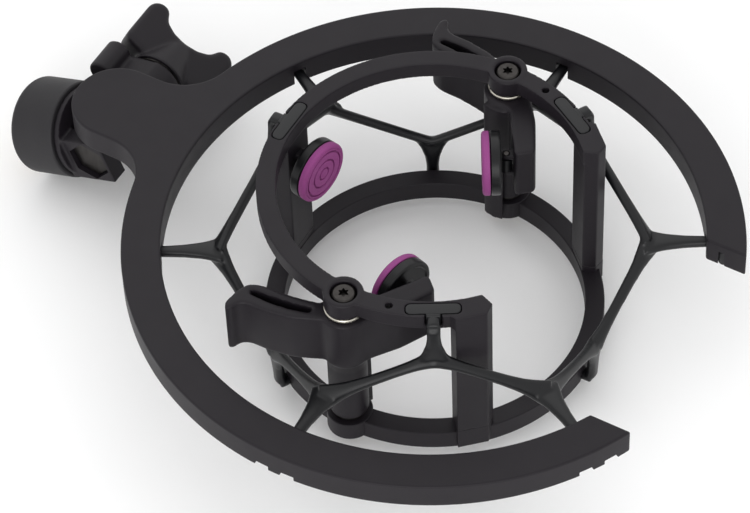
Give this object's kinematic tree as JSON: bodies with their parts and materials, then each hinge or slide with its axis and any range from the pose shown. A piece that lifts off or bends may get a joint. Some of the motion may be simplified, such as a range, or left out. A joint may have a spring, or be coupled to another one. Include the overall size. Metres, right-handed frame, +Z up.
{
  "type": "microphone shock mount",
  "caption": "C-shaped shock mount: elastic web hangs a cage with sprung clamp levers and padded jaws; a wing knob locks the tilt of a threaded stand barrel.",
  "frame": {"origin": "centre of the mouth of the stand barrel, where the stand's thread enters", "axes": "+X from the stand barrel across the ring to its open gap, +Z up along the microphone, +Y towards the wing knob"},
  "size_m": [0.2124, 0.17, 0.0598],
  "materials": {
    "frame_plastic": "fine satin grain, near black",
    "barrel_plastic": "sand textured, near black",
    "web_elastomer": "smooth moulded elastomer",
    "cup_plastic": "gloss black",
    "pad_rubber": "matt purple with concentric grooves",
    "dark_steel": "black oxide",
    "bright_steel": "zinc plated",
    "insert_brass": "turned",
    "washer_fibre": "pressed fibre"
  },
  "bodies": {
    "barrel": {"stand_barrel": "barrel_plastic", "thread_insert": "insert_brass", "barrel_clip": "bright_steel"},
    "yoke": {"yoke": "frame_plastic", "clamp_bolt": "dark_steel", "friction_washer_near": "washer_fibre", "friction_washer_far": "washer_fibre"},
    "wing_knob": {"wing_knob": "frame_plastic", "knob_insert": "insert_brass", "clamp_washer": "dark_steel"},
    "ring": {"outer_ring": "frame_plastic", "suspension_web": "web_elastomer"},
    "cage": {"cage_top": "frame_plastic", "cage_base": "frame_plastic", "post_screw_1": "dark_steel", "post_screw_2": "dark_steel", "post_screw_3": "dark_steel", "pivot_screw_front": "dark_steel", "pivot_screw_back": "dark_steel", "base_insert_front": "insert_brass", "base_insert_back": "insert_brass", "upper_washer_front": "bright_steel", "upper_washer_back": "bright_steel", "lower_washer_front": "dark_steel", "lower_washer_back": "dark_steel", "torsion_spring_front": "dark_steel", "torsion_spring_back": "dark_steel", "pad_pin_rear": "dark_steel"},
    "front_lever": {"lever_front": "frame_plastic", "pad_pin_front": "dark_steel"},
    "back_lever": {"lever_back": "frame_plastic", "pad_pin_back": "dark_steel"},
    "front_pad": {"pad_cup_front": "cup_plastic", "clamp_pad_front": "pad_rubber"},
    "back_pad": {"pad_cup_back": "cup_plastic", "clamp_pad_back": "pad_rubber"},
    "rear_pad": {"pad_cup_rear": "cup_plastic", "clamp_pad_rear": "pad_rubber"}
  },
  "joints": [
    {"name": "barrel_spin", "type": "hinge", "parent": "barrel", "child": "yoke", "pos_m": [0, 0, 0], "axis": [0.9397, 0, 0.342], "continuous": true},
    {"name": "ring_tilt", "type": "hinge", "parent": "yoke", "child": "ring", "pos_m": [0.02441, 0, 0.0075], "axis": [0, 1, 0], "range_deg": [-9, 85]},
    {"name": "wing_turn", "type": "hinge", "parent": "yoke", "child": "wing_knob", "pos_m": [0.02441, 0, 0.0075], "axis": [0, 1, 0], "range_deg": [0, 360]},
    {"name": "suspension_travel", "type": "slide", "parent": "ring", "child": "cage", "axis": [0, 0, 1], "range_m": [-0.006, 0.006], "stiffness_N_per_m": 2300, "deforming": ["suspension_web"]},
    {"name": "front_lever_swing", "type": "hinge", "parent": "cage", "child": "front_lever", "pos_m": [0.12921, -0.0446, 0.0205], "axis": [0, 0, 1], "range_deg": [-30, 0], "stiffness_Nm_per_rad": 0.2, "springref_deg": 22.92},
    {"name": "back_lever_swing", "type": "hinge", "parent": "cage", "child": "back_lever", "pos_m": [0.12921, 0.0446, 0.0205], "axis": [0, 0, 1], "range_deg": [0, 30], "stiffness_Nm_per_rad": 0.2, "springref_deg": -22.92},
    {"name": "front_pad_swivel", "type": "hinge", "parent": "front_lever", "child": "front_pad", "pos_m": [0.13872, -0.02635, 0.0322], "axis": [0, 0, 1], "range_deg": [-38, 2]},
    {"name": "back_pad_swivel", "type": "hinge", "parent": "back_lever", "child": "back_pad", "pos_m": [0.13872, 0.02635, 0.0322], "axis": [0, 0, 1], "range_deg": [-17.6, 22.4]},
    {"name": "rear_pad_swivel", "type": "hinge", "parent": "cage", "child": "rear_pad", "pos_m": [0.09041, 0, 0.0322], "axis": [0, 0, 1], "range_deg": [-12, 28]}
  ]
}
